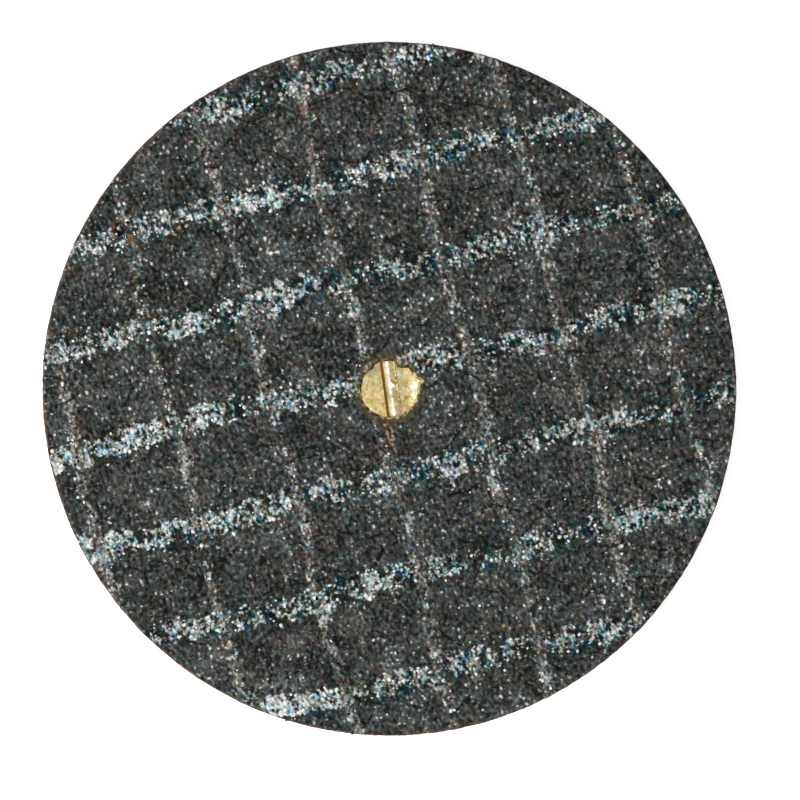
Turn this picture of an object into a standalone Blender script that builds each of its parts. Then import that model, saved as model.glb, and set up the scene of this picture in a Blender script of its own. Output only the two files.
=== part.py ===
"""A reinforced cut off wheel with a slotted brass screw filling its arbor hole.

The wheel lies flat with its front face up. Its axis is the Z axis and its back
rests on Z = 0. The glass mesh that reinforces it is moulded into both faces as a
leno weave: flat weft bands, with a thin warp strand crossing over each of them.
"""

import math

import bmesh
import bpy
from mathutils import Euler, Matrix, Vector

MM = 0.001

# Wheel
WHEEL_DIAMETER = 38.0 * MM
CORE_THICKNESS = 0.94 * MM  # between the flat cells of the two faces
BORE_DIAMETER = 3.2 * MM
RIM_FACETS = 144
BORE_FACETS = 48
BORE_TURN = math.pi / BORE_FACETS  # half a facet, so its corners miss those of the mouth
SMOOTH_ANGLE = math.radians(30)  # facets that meet more sharply keep their edge
OVERCUT = 1.0 * MM  # how far cutters run past the faces they cut
MERGE_GAP = 0.001 * MM  # points closer than this become one

# Glass mesh in the faces
MESH_PITCH = 5.5 * MM
FRONT_MESH_TURN = math.radians(14.0)
BACK_MESH_TURN = math.radians(37.0)
FRONT_MESH_SHIFT = (-0.90 * MM, 0.80 * MM)  # from the axis to the nearest warp and weft
BACK_MESH_SHIFT = (1.60 * MM, -1.10 * MM)
WEFT_WIDTH = 1.15 * MM  # of its flat crown
WEFT_HEIGHT = 0.08 * MM
WARP_WIDTH = 0.26 * MM
WARP_HEIGHT = 0.08 * MM
CROSSING_PRESS = 0.03 * MM  # how far a warp strand presses a weft band in
STRAND_SLOPE = 0.16 * MM  # width of a strand's sloping side
STRAND_DRIFT = 0.16 * MM  # how far a strand wanders to each side
DRIFT_LENGTH = 13.0 * MM
DRIFT_STEP = 2.1  # radians by which each strand wanders later than the last
CELL_LINES = 2  # grid lines across each open cell

# Pit where a crossing's glass has torn out of the front face, its edge as angles and shares of its radius
PIT_CENTRE = (-14.70 * MM, 8.73 * MM)
PIT_DEPTH = 0.30 * MM  # below the flat cells
PIT_RADIUS = 0.34 * MM
PIT_FLOOR_SHARE = 0.55  # size of its floor against its mouth
PIT_EDGE = ((-10, 0.8), (35, 1.05), (80, 0.9), (130, 1.2), (170, 0.9), (225, 1.1), (290, 0.85))

# Ragged mouth of the bore and the screw face that has spread into it
SCREW_CLEARANCE = 0.04 * MM
SCREW_RECESS = 0.05 * MM  # below the front cells and above the back ones
LIP_THICKNESS = 0.26 * MM  # of the flakes that reach in over the screw
SEAT_OVERLAP = 0.05 * MM  # of the screw's face and its shank
SCREW_LEAD_IN = 0.12 * MM
SLOT_TURN = math.radians(7.9)
SLOT_SHIFT = 0.10 * MM

# The driver slot's floor from its steep left wall to its worn right side, as places across and depths
SLOT_FLOOR = (
    (-0.42 * MM, 0.36 * MM),
    (-0.28 * MM, 0.20 * MM),
    (0.02 * MM, 0.06 * MM),
    (0.35 * MM, 0.03 * MM),
)

# The mouth's edge, anticlockwise, as angles in degrees and shares of the bore's radius
RIGHT_TEAR = ((8, 1.02), (13, 1.19), (25, 1.00), (39, 0.99), (48, 1.02), (68, 0.81), (74, 0.98))
LEFT_TEAR = ((123, 1.00), (130, 0.91), (138, 0.98))
MOUTH_STEP = 10  # degrees between the points of its round stretches


def new_object(name, mesh, collection):
    part = bpy.data.objects.new(name, mesh)
    collection.objects.link(part)
    return part


def new_collection(name):
    collection = bpy.data.collections.new(name)
    bpy.context.scene.collection.children.link(collection)
    return collection


def hide_cutter(cutter):
    cutter.hide_render = True
    cutter.display_type = "WIRE"
    return cutter


def add_boolean(part, operation, operand):
    modifier = part.modifiers.new(f"{operation.title()} {operand.name}", "BOOLEAN")
    modifier.operation = operation
    modifier.solver = "EXACT"
    modifier.object = operand


def cylinder(name, collection, radius, bottom, top, facets, turn=0):
    mesh = bpy.data.meshes.new(name)
    place = Matrix.Translation((0, 0, (top + bottom) / 2))
    bm = bmesh.new()
    bmesh.ops.create_cone(
        bm,
        cap_ends=True,
        segments=facets,
        radius1=radius,
        radius2=radius,
        depth=top - bottom,
        matrix=place @ Matrix.Rotation(turn, 4, "Z"),
    )
    bm.to_mesh(mesh)
    bm.free()
    mesh.shade_smooth()
    mesh.set_sharp_from_angle(angle=SMOOTH_ANGLE)
    return new_object(name, mesh, collection)


def material(name, colour, metallic, roughness):
    finish = bpy.data.materials.new(name)
    finish.use_nodes = True
    shader = finish.node_tree.nodes["Principled BSDF"]
    shader.inputs["Base Color"].default_value = (*colour, 1)
    shader.inputs["Metallic"].default_value = metallic
    shader.inputs["Roughness"].default_value = roughness
    finish.diffuse_color = (*colour, 1)
    return finish


def levels():
    """Heights of the planes that the wheel and the screw share."""
    crown = WEFT_HEIGHT - CROSSING_PRESS + WARP_HEIGHT
    back = crown  # the back's flat cells, held off the ground by its mesh
    front = back + CORE_THICKNESS
    return {
        "back": back,
        "middle": (back + front) / 2,
        "front": front,
        "top": front + crown,
        "lip": front - LIP_THICKNESS,
        "shank": front - LIP_THICKNESS - SCREW_CLEARANCE,
        "nick": front - LIP_THICKNESS - 2 * SCREW_CLEARANCE - SEAT_OVERLAP,
    }


def strand_lines(shift, width):
    """Grid lines across one family of strands: each one's place and its share of height."""
    count = math.ceil(WHEEL_DIAMETER / 2 / MESH_PITCH) + 1
    foot = width / 2 + STRAND_SLOPE
    cell = MESH_PITCH - 2 * foot
    lines = []
    for index in range(-count, count + 1):
        centre = shift + index * MESH_PITCH
        for offset, share in ((-foot, 0), (-width / 2, 1), (width / 2, 1), (foot, 0)):
            lines.append((centre + offset, share))
        for step in range(1, CELL_LINES + 1):
            lines.append((centre + foot + cell * step / (CELL_LINES + 1), 0))
    return lines


def drift(across, along):
    """How far a strand at one place across its family wanders, along its length."""
    lag = DRIFT_STEP * across / MESH_PITCH
    return STRAND_DRIFT * math.sin(math.tau * along / DRIFT_LENGTH + lag)


def relief(warp_share, weft_share):
    if warp_share and weft_share:
        return WEFT_HEIGHT - CROSSING_PRESS + WARP_HEIGHT
    return warp_share * WARP_HEIGHT + weft_share * WEFT_HEIGHT


def woven_layer(name, collection, turn, shift):
    """Half of the wheel as a square slab, with the mesh's ridges in its upper face."""
    warps = strand_lines(shift[0], WARP_WIDTH)
    wefts = strand_lines(shift[1], WEFT_WIDTH)
    columns, rows = len(warps) - 1, len(wefts) - 1
    half = CORE_THICKNESS / 2
    bm = bmesh.new()
    grid = bmesh.ops.create_grid(bm, x_segments=columns, y_segments=rows, size=1)
    for vertex in grid["verts"]:
        across, warp_share = warps[round((vertex.co.x + 1) / 2 * columns)]
        along, weft_share = wefts[round((vertex.co.y + 1) / 2 * rows)]
        vertex.co = (
            across + drift(across, along),
            along + drift(along, across),
            half + relief(warp_share, weft_share),
        )
    underside = bmesh.ops.extrude_face_region(bm, geom=bm.faces[:])
    for item in underside["geom"]:
        if isinstance(item, bmesh.types.BMVert):
            item.co.z = -half / 2  # past the middle, so the two layers overlap
    bmesh.ops.recalc_face_normals(bm, faces=bm.faces[:])
    mesh = bpy.data.meshes.new(name)
    bm.to_mesh(mesh)
    bm.free()
    layer = new_object(name, mesh, collection)
    layer.rotation_euler = Euler((0, 0, turn))
    return hide_cutter(layer)


def mouth_outline(radius, growth):
    """The ragged mouth's points, moved outwards by growth square to its edge."""
    ragged = [*RIGHT_TEAR, *LEFT_TEAR]
    torn = ((RIGHT_TEAR[0][0], RIGHT_TEAR[-1][0]), (LEFT_TEAR[0][0], LEFT_TEAR[-1][0]))
    for angle in range(0, 360, MOUTH_STEP):
        if not any(start - MOUTH_STEP / 2 < angle < end + MOUTH_STEP / 2 for start, end in torn):
            ragged.append((angle, 1.0))
    points = [
        radius * share * Vector((math.cos(math.radians(angle)), math.sin(math.radians(angle))))
        for angle, share in sorted(ragged)
    ]
    grown = []
    for number, point in enumerate(points):
        before = (point - points[number - 1]).normalized()
        after = (points[(number + 1) % len(points)] - point).normalized()
        outward = Vector((before.y, -before.x)) + Vector((after.y, -after.x))
        outward.normalize()
        grown.append(point + outward * growth / outward.dot(Vector((before.y, -before.x))))
    return grown


def mouth_prism(name, collection, growth, bottom, top):
    """The mouth's outline as a flat filled curve, extruded and made a closed mesh."""
    curve = bpy.data.curves.new(name, "CURVE")
    curve.dimensions = "2D"
    curve.fill_mode = "BOTH"
    curve.extrude = (top - bottom) / 2
    outline = mouth_outline(BORE_DIAMETER / 2, growth)
    spline = curve.splines.new("POLY")
    spline.use_cyclic_u = True
    spline.points.add(len(outline) - 1)
    for point, place in zip(spline.points, outline):
        point.co = (place.x, place.y, 0, 1)
    drawn = new_object(name, curve, collection)
    bpy.context.view_layer.update()
    evaluated = drawn.evaluated_get(bpy.context.evaluated_depsgraph_get())
    mesh = bpy.data.meshes.new_from_object(evaluated)
    bpy.data.objects.remove(drawn)
    bm = bmesh.new()
    bm.from_mesh(mesh)
    bmesh.ops.remove_doubles(bm, verts=bm.verts[:], dist=MERGE_GAP)
    bmesh.ops.translate(bm, verts=bm.verts[:], vec=(0, 0, (top + bottom) / 2))
    bmesh.ops.recalc_face_normals(bm, faces=bm.faces[:])
    bm.to_mesh(mesh)
    bm.free()
    return new_object(name, mesh, collection)


def cut_bore(wheel, cutters, z):
    """The arbor hole: round through the wheel, with a ragged mouth in the front face."""
    bore = cylinder("bore", cutters, BORE_DIAMETER / 2, -OVERCUT, z["lip"], BORE_FACETS, BORE_TURN)
    add_boolean(wheel, "DIFFERENCE", hide_cutter(bore))
    mouth = mouth_prism("bore_mouth", cutters, 0, z["nick"], z["top"] + OVERCUT)
    add_boolean(wheel, "DIFFERENCE", hide_cutter(mouth))


def make_pit_cutter(cutters, z):
    """A ragged funnel that runs up out of the front face."""
    floor = z["front"] - PIT_DEPTH
    rise = z["top"] - floor
    bm = bmesh.new()
    rings = []
    for share, height in ((PIT_FLOOR_SHARE, floor), (2 - PIT_FLOOR_SHARE, floor + 2 * rise)):
        ring = []
        for angle, reach in PIT_EDGE:
            turned = math.radians(angle)
            radius = PIT_RADIUS * reach * share
            x = PIT_CENTRE[0] + radius * math.cos(turned)
            y = PIT_CENTRE[1] + radius * math.sin(turned)
            ring.append(bm.verts.new((x, y, height)))
        bm.faces.new(ring)
        rings.append(ring)
    for number in range(len(PIT_EDGE)):
        after = (number + 1) % len(PIT_EDGE)
        bm.faces.new((rings[0][number], rings[0][after], rings[1][after], rings[1][number]))
    bmesh.ops.recalc_face_normals(bm, faces=bm.faces[:])
    mesh = bpy.data.meshes.new("pit")
    bm.to_mesh(mesh)
    bm.free()
    return hide_cutter(new_object("pit", mesh, cutters))


def make_wheel(parts, cutters, z):
    """Two woven layers joined back to back, trimmed round, bored and pitted."""
    front = woven_layer("front_weave", cutters, FRONT_MESH_TURN, FRONT_MESH_SHIFT)
    back = woven_layer("back_weave", cutters, BACK_MESH_TURN, BACK_MESH_SHIFT)
    front.location.z = z["middle"]
    back.location.z = z["middle"]
    back.rotation_euler = Euler((math.pi, 0, BACK_MESH_TURN))
    add_boolean(front, "UNION", back)
    radius = WHEEL_DIAMETER / 2
    wheel = cylinder("abrasive_wheel", parts, radius, -OVERCUT, z["top"] + OVERCUT, RIM_FACETS)
    add_boolean(wheel, "INTERSECT", front)
    cut_bore(wheel, cutters, z)
    add_boolean(wheel, "DIFFERENCE", make_pit_cutter(cutters, z))
    wheel.data.materials.append(material("abrasive", (0.055, 0.058, 0.056), 0.0, 0.7))


def make_screw(parts, cutters, z):
    """The brass screw: a shank in the bore and a slotted face spread into its mouth."""
    radius = BORE_DIAMETER / 2 - SCREW_CLEARANCE
    bottom = z["back"] + SCREW_RECESS
    face = z["front"] - SCREW_RECESS
    screw = cylinder("centre_screw", parts, radius, bottom, z["shank"], BORE_FACETS, BORE_TURN)
    foot_edges = screw.data.attributes.new("bevel_weight_edge", "FLOAT", "EDGE")
    for edge in screw.data.edges:
        on_foot = all(screw.data.vertices[v].co.z < (bottom + z["shank"]) / 2 for v in edge.vertices)
        foot_edges.data[edge.index].value = float(on_foot)
    lead_in = screw.modifiers.new("Lead in", "BEVEL")
    lead_in.limit_method = "WEIGHT"
    lead_in.width = SCREW_LEAD_IN
    lead_in.segments = 1
    head_bottom = z["nick"] + SCREW_CLEARANCE
    head = mouth_prism("screw_face", cutters, -SCREW_CLEARANCE, head_bottom, face)
    add_boolean(screw, "UNION", hide_cutter(head))
    add_boolean(screw, "DIFFERENCE", make_slot_cutter(cutters, face))
    screw.data.materials.append(material("brass", (0.60, 0.46, 0.21), 1.0, 0.35))


def make_slot_cutter(cutters, face):
    """The driver slot, its section run right across the screw."""
    reach = BORE_DIAMETER / 2 + OVERCUT
    section = [(SLOT_FLOOR[0][0], OVERCUT)]
    section += [(across, -depth) for across, depth in SLOT_FLOOR]
    section.append((SLOT_FLOOR[-1][0], OVERCUT))
    bm = bmesh.new()
    near = [bm.verts.new((across, -reach, height)) for across, height in section]
    far = [bm.verts.new((across, reach, height)) for across, height in section]
    bm.faces.new(near)
    bm.faces.new(reversed(far))
    for number in range(len(section)):
        after = (number + 1) % len(section)
        bm.faces.new((near[number], far[number], far[after], near[after]))
    bmesh.ops.recalc_face_normals(bm, faces=bm.faces[:])
    mesh = bpy.data.meshes.new("driver_slot")
    bm.to_mesh(mesh)
    bm.free()
    slot = new_object("driver_slot", mesh, cutters)
    slot.rotation_euler = Euler((0, 0, SLOT_TURN))
    slot.location = (SLOT_SHIFT, 0, face)
    return hide_cutter(slot)


def main():
    for old in list(bpy.data.objects):
        bpy.data.objects.remove(old, do_unlink=True)
    parts = new_collection("cut_off_wheel")
    cutters = new_collection("cutters")
    z = levels()
    make_wheel(parts, cutters, z)
    make_screw(parts, cutters, z)


main()
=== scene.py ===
import math

import bmesh
import bpy
import numpy as np
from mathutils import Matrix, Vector
from mathutils.geometry import delaunay_2d_cdt


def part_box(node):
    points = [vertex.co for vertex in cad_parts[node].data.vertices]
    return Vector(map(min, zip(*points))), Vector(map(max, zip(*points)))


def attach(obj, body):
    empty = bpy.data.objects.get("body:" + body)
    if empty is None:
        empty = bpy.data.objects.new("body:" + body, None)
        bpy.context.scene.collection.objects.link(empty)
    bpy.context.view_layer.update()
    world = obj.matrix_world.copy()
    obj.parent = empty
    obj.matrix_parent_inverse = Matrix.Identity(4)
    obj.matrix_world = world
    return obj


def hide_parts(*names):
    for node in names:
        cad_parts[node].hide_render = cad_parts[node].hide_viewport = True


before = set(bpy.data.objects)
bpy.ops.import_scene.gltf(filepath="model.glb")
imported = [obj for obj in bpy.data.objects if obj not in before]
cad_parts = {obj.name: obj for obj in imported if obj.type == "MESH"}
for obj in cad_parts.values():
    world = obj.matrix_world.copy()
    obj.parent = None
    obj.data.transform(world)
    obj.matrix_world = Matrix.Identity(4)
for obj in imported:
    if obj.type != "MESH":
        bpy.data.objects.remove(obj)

print("Frame loaded:", ", ".join(sorted(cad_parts)))
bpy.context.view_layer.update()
wheelLow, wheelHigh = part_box("abrasive_wheel")
mm = 0.001


# Node helpers, shared by the geometry and the shader trees

def fill(tree, socket, value):  # links a socket to another, or sets its plain value
    if isinstance(value, bpy.types.NodeSocket):
        tree.links.new(value, socket)
    elif value is not None:
        socket.default_value = value


def addNode(tree, kind, inputs=None, **settings):
    node = tree.nodes.new(kind)
    for name, value in settings.items():
        setattr(node, name, value)
    for name, value in (inputs or {}).items():
        fill(tree, node.inputs[name], value)
    return node


def maths(tree, operation, *values):
    node = addNode(tree, "ShaderNodeMath", operation=operation)
    for socket, value in zip(node.inputs, values):
        fill(tree, socket, value)
    return node.outputs[0]


def product(tree, first, *others):
    for other in others:
        first = maths(tree, "MULTIPLY", first, other)
    return first


def sumOf(tree, first, *others):
    for other in others:
        first = maths(tree, "ADD", first, other)
    return first


def less(tree, first, second):
    return maths(tree, "SUBTRACT", first, second)


def vectorMaths(tree, operation, *values):
    node = addNode(tree, "ShaderNodeVectorMath", operation=operation)
    for socket, value in zip(node.inputs, values):
        fill(tree, socket, value)
    return node.outputs[0]


def shiftBy(tree, vector, step):
    return vectorMaths(tree, "ADD", vector, step)


def stretchBy(tree, vector, factors):
    return vectorMaths(tree, "MULTIPLY", vector, factors)


def turnBy(tree, vector, angle):  # round the wheel's axis
    return addNode(tree, "ShaderNodeVectorRotate", {"Vector": vector, "Angle": angle},
                   rotation_type="Z_AXIS").outputs[0]


def scaled(tree, vector, factor):
    return addNode(tree, "ShaderNodeVectorMath", {"Vector": vector, "Scale": factor},
                   operation="SCALE").outputs[0]


def distanceOf(tree, vector):
    return addNode(tree, "ShaderNodeVectorMath", {"Vector": vector}, operation="LENGTH").outputs["Value"]


def flatReach(tree, place):  # the distance from the wheel's axis
    return distanceOf(tree, stretchBy(tree, place, (1.0, 1.0, 0.0)))


def partsOf(tree, vector):
    return addNode(tree, "ShaderNodeSeparateXYZ", {"Vector": vector}).outputs


def vectorOf(tree, **parts):
    return addNode(tree, "ShaderNodeCombineXYZ", parts).outputs[0]


def mapped(tree, value, low, high, toLow=0.0, toHigh=1.0, smooth=False):
    return addNode(tree, "ShaderNodeMapRange", {
        "Value": value, "From Min": low, "From Max": high, "To Min": toLow, "To Max": toHigh},
        interpolation_type="SMOOTHSTEP" if smooth else "LINEAR").outputs["Result"]


def noise(tree, vector, scale, detail=2.0, roughness=0.5, output="Fac"):
    return addNode(tree, "ShaderNodeTexNoise", {
        "Vector": vector, "Scale": scale, "Detail": detail, "Roughness": roughness}).outputs[output]


def wobble(tree, vector, amount, scale, detail=2.0, roughness=0.5, middle=0.5):  # noise about zero
    return product(tree, less(tree, noise(tree, vector, scale, detail, roughness), middle), amount)


def bendOf(tree, vector, amount, scale):  # the same in three directions
    colour = noise(tree, vector, scale, 1.0, output="Color")
    return scaled(tree, vectorMaths(tree, "SUBTRACT", colour, (0.5, 0.5, 0.5)), amount)


def voronoi(tree, vector, scale, feature="F1"):
    return addNode(tree, "ShaderNodeTexVoronoi", {"Vector": vector, "Scale": scale}, feature=feature).outputs


def sheenAndWearAlong(tree, split, unit):  # grows towards the lower left, the lamp side, where the glass is more worn and its painted sheen brighter
    x, y = wheel["sheenAndWearWay"]
    return sumOf(tree, product(tree, split["X"], x / unit), product(tree, split["Y"], y / unit))


def stored(tree, geometry, name, value, domain="POINT"):
    return addNode(tree, "GeometryNodeStoreNamedAttribute", {
        "Geometry": geometry, "Name": name, "Value": value}, data_type="FLOAT", domain=domain).outputs[0]


def named(tree, name):
    return addNode(tree, "GeometryNodeInputNamedAttribute", {"Name": name}, data_type="FLOAT").outputs[0]


def setPlace(tree, geometry, **inputs):
    return addNode(tree, "GeometryNodeSetPosition", {"Geometry": geometry, **inputs}).outputs[0]


def newTree(name, kind, inputs, outputs):
    tree = bpy.data.node_groups.new(name, kind)
    for way, sockets in (("INPUT", inputs), ("OUTPUT", outputs)):
        for label, (socketKind, value) in sockets.items():
            item = tree.interface.new_socket(name=label, in_out=way, socket_type="NodeSocket" + socketKind)
            if value is not None:
                item.default_value = value
    start, end = tree.nodes.new("NodeGroupInput"), tree.nodes.new("NodeGroupOutput")
    return tree, start.outputs, end.inputs


def geometryTree(name, lengths, others):  # it takes a geometry and gives it back changed
    geometry = {"Geometry": ("Geometry", None)}
    sockets = {**geometry, **others, **{length: ("Float", 0.0) for length in lengths}}
    tree, start, end = newTree(name, "GeometryNodeTree", sockets, geometry)
    return tree, start, end, addNode(tree, "GeometryNodeInputPosition").outputs[0]


def useTree(piece, tree, **values):  # a modifier's inputs are set by identifier, in the order of its sockets
    modifier = piece.modifiers.new(tree.name, "NODES")
    modifier.node_group = tree
    for item in tree.interface.items_tree:
        key = item.name.replace(" ", "_")
        if item.in_out == "INPUT" and key in values:
            modifier[item.identifier] = values.pop(key)
    assert not values, values


def madePlain(piece):  # the evaluated mesh takes the modifiers' place
    graph = bpy.context.evaluated_depsgraph_get()
    plain = bpy.data.meshes.new_from_object(piece.evaluated_get(graph))
    piece.modifiers.clear()
    piece.data = plain


def newPiece(name, data):
    piece = bpy.data.objects.new(name, data)
    bpy.context.scene.collection.objects.link(piece)
    return piece


# The wheel

wheel = {
    "radius": (wheelHigh.x - wheelLow.x) / 2,
    "top": wheelHigh.z,
    "frontCell": 1.07 * mm,
    "backCell": 0.13 * mm,
    "boreRadius": 1.60 * mm,
    "frontStep": 0.150 * mm,  # spacing of the points on each face
    "backStep": 0.225 * mm,
    "rimSegments": 760,
    "rimRows": 7,
    "rimRoughness": 0.05 * mm,
    "lip": 0.26 * mm,
    "sheenAndWearWay": (-0.93, -0.37),  # to the lower left, the lamp side: more wear and brighter painted sheen
    "jitter": 0.22,  # of the points, in steps
    "edgeGap": 0.6,  # between the points and an outline, in steps
    "seed": 5,
}

weave = {
    "Pitch": 5.5 * mm,
    "Weft_width": 1.15 * mm,
    "Weft_height": 0.08 * mm,
    "Warp_width": 0.26 * mm,
    "Warp_height": 0.08 * mm,
    "Press": 0.03 * mm,
    "Slope": 0.16 * mm,
    "Drift": 0.16 * mm,
    "Drift_length": 13.0 * mm,
    "Drift_step": 2.1,
    "Ragged": 0.46 * mm,
    "Grain_height": 0.050 * mm,
    "Groove": 0.010 * mm,  # beside each warp strand
}

frontWeave = {"Turn": math.radians(14.0), "Warp_shift": -0.90 * mm, "Weft_shift": 0.80 * mm}
backWeave = {"Turn": math.radians(37.0), "Warp_shift": 1.60 * mm, "Weft_shift": -1.10 * mm}

pit = {  # a crossing's glass torn out of the front face
    "centre": (-14.70 * mm, 8.73 * mm),
    "radius": 0.40 * mm,
    "depth": 0.30 * mm,
    "raggedness": 0.42 * mm,
    "rings": 9,  # of closer points round its centre
    "spokes": 26,
}

mouth = {  # the arbor hole's torn edge: angles in degrees and shares of the bore's radius
    "rightTear": ((8, 1.02), (13, 1.19), (25, 1.00), (39, 0.99), (48, 1.02), (68, 0.81), (74, 0.98)),
    "leftTear": ((123, 1.00), (130, 0.91), (138, 0.98)),
    "segments": 144,
    "crumble": 0.02 * mm,
    "dirt": 0.050 * mm,  # how far packed dirt reaches in towards the screw
    "dirtDepths": ((0, 0.070), (45, 0.065), (75, 0.08), (100, 0.11), (150, 0.11), (170, 0.065), (270, 0.060),
                   (300, 0.075), (360, 0.070)),  # angles, and mm below the open cells
}


def mouthRadius(angles, crumbs):
    tears = sorted((*mouth["rightTear"], *mouth["leftTear"]))
    marks = [0] + [angle for angle, share in tears] + [80, 118, 144, 360]
    shares = [1.0] + [share for angle, share in tears] + [1.0] * 4
    order = np.argsort(marks)
    share = np.interp(np.degrees(angles) % 360, np.array(marks)[order], np.array(shares)[order])
    return wheel["boreRadius"] * share + mouth["crumble"] * crumbs


def ringPoints(radius, angles):
    return np.column_stack([radius * np.cos(angles), radius * np.sin(angles)])


def lattice(step, chance):  # a jittered triangular grid over the whole disc
    rows = int(wheel["radius"] / step * 2 / math.sqrt(3)) + 1
    columns = int(wheel["radius"] / step) + 2
    row, column = np.mgrid[-rows:rows + 1, -columns:columns + 1]
    places = np.stack([(column + 0.5 * (row % 2)) * step, row * step * math.sqrt(3) / 2], axis=-1)
    jitter = wheel["jitter"]
    return places.reshape(-1, 2) + chance.uniform(-jitter, jitter, (row.size, 2)) * step


def annulus(outer, inner, step, chance, extra):  # triangles between two closed outlines
    places = lattice(step, chance)
    reach = np.hypot(places[:, 0], places[:, 1])
    around = np.arctan2(places[:, 1], places[:, 0])
    innerReach = np.hypot(inner[:, 0], inner[:, 1])
    innerAngle = np.arctan2(inner[:, 1], inner[:, 0])
    order = np.argsort(innerAngle)
    hole = np.interp(around, innerAngle[order], innerReach[order], period=math.tau)
    outerReach = np.hypot(outer[:, 0], outer[:, 1]).min()
    gap = wheel["edgeGap"] * step
    places = places[(reach < outerReach - gap) & (reach > hole + gap)]
    places = np.vstack([places, extra])
    points = np.vstack([outer, inner, places])
    edges = []
    for start, count in ((0, len(outer)), (len(outer), len(inner))):
        edges += [(start + n, start + (n + 1) % count) for n in range(count)]
    found = delaunay_2d_cdt([Vector(p) for p in points], edges, [], 0, 1e-9)
    corners = np.array(found[2])
    held = set(range(len(outer), len(outer) + len(inner)))
    faces = [tuple(face) for face in corners.tolist() if not held.issuperset(face)]
    return points, faces


def makeBlank():  # the plain wheel: two faces, a rim and the wall of the arbor hole, in one closed mesh
    chance = np.random.default_rng(wheel["seed"])
    rimAngles = np.arange(wheel["rimSegments"]) / wheel["rimSegments"] * math.tau
    boreAngles = np.arange(mouth["segments"]) / mouth["segments"] * math.tau
    crumbs = chance.uniform(-1, 1, mouth["segments"])
    rim = ringPoints(wheel["radius"], rimAngles)
    torn = ringPoints(mouthRadius(boreAngles, crumbs), boreAngles)
    bored = ringPoints(wheel["boreRadius"], boreAngles)
    around = np.arange(pit["spokes"]) * math.tau / pit["spokes"]
    rings = [ringPoints(pit["radius"] * (0.2 + 0.13 * row), around + row) for row in range(pit["rings"])]
    front, frontFaces = annulus(rim, torn, wheel["frontStep"], chance, np.vstack(rings) + pit["centre"])
    back, backFaces = annulus(rim, bored, wheel["backStep"], chance, np.zeros((0, 2)))
    high, low = wheel["frontCell"], wheel["backCell"]

    places, shares, grime, faces = [], [], [], []

    def addPoints(flat, height, share, inBore=0.0):
        start = sum(len(group) for group in places)
        places.append(np.column_stack([flat, np.full(len(flat), height)]))
        shares.append(np.full(len(flat), share))
        grime.append(np.full(len(flat), inBore))
        return start

    def addWall(above, below, count):  # one row of quads between two rings
        for n in range(count):
            after = (n + 1) % count
            faces.append((above + n, below + n, below + after, above + after))

    frontStart = addPoints(front, high, 1.0)
    backStart = addPoints(back, low, 0.0)
    faces += [tuple(frontStart + corner for corner in face) for face in frontFaces]
    faces += [tuple(backStart + corner for corner in reversed(face)) for face in backFaces]
    above = frontStart
    for row in range(1, wheel["rimRows"]):
        share = 1 - row / wheel["rimRows"]
        below = addPoints(rim, low + (high - low) * share, share)
        addWall(above, below, len(rim))
        above = below
    addWall(above, backStart, len(rim))

    packed = ringPoints(mouthRadius(boreAngles, crumbs) - mouth["dirt"], boreAngles)
    marks, depths = zip(*mouth["dirtDepths"])
    ledge = np.interp(np.degrees(boreAngles), marks, depths) * mm
    boreRings = [(torn, ledge - 0.015 * mm), (packed, ledge), (packed, 0.16 * mm), (torn, 0.18 * mm),
                 (torn, wheel["lip"]), (bored, wheel["lip"] + 0.08 * mm),
                 (bored, (high - low) * 0.6), (bored, (high - low) * 0.8)]
    above = frontStart + len(rim)
    for ring, depth in boreRings:
        below = addPoints(ring, high - depth, 1 - depth / (high - low), 1.0)
        addWall(below, above, len(bored))
        above = below
    addWall(backStart + len(rim), above, len(bored))

    mesh = bpy.data.meshes.new("abrasiveWheel")
    mesh.from_pydata(np.vstack(places).tolist(), [], faces)
    share, dirty = np.concatenate(shares), np.concatenate(grime)
    for start in (frontStart, backStart):
        dirty[start + len(rim):start + len(rim) + len(torn)] = 1.0
    for name, values in (("frontShare", share), ("backShare", 1 - share), ("bore", dirty)):
        mesh.attributes.new(name, "FLOAT", "POINT").data.foreach_set("value", values)
    return newPiece("abrasiveWheel", mesh)


def strandMask(tree, distance, width, slope):
    half = product(tree, width, 0.5)
    return mapped(tree, distance, sumOf(tree, half, slope), half, smooth=True)


def strandDistance(tree, across, along, shift, start):  # from the nearest strand of one family
    lag = maths(tree, "DIVIDE", product(tree, start["Drift step"], across), start["Pitch"])
    turns = maths(tree, "DIVIDE", product(tree, along, math.tau), start["Drift length"])
    wander = product(tree, maths(tree, "SINE", sumOf(tree, turns, lag)), start["Drift"])
    place = less(tree, less(tree, across, wander), shift)
    half = product(tree, start["Pitch"], 0.5)
    return maths(tree, "WRAP", place, half, product(tree, half, -1.0))


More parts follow.
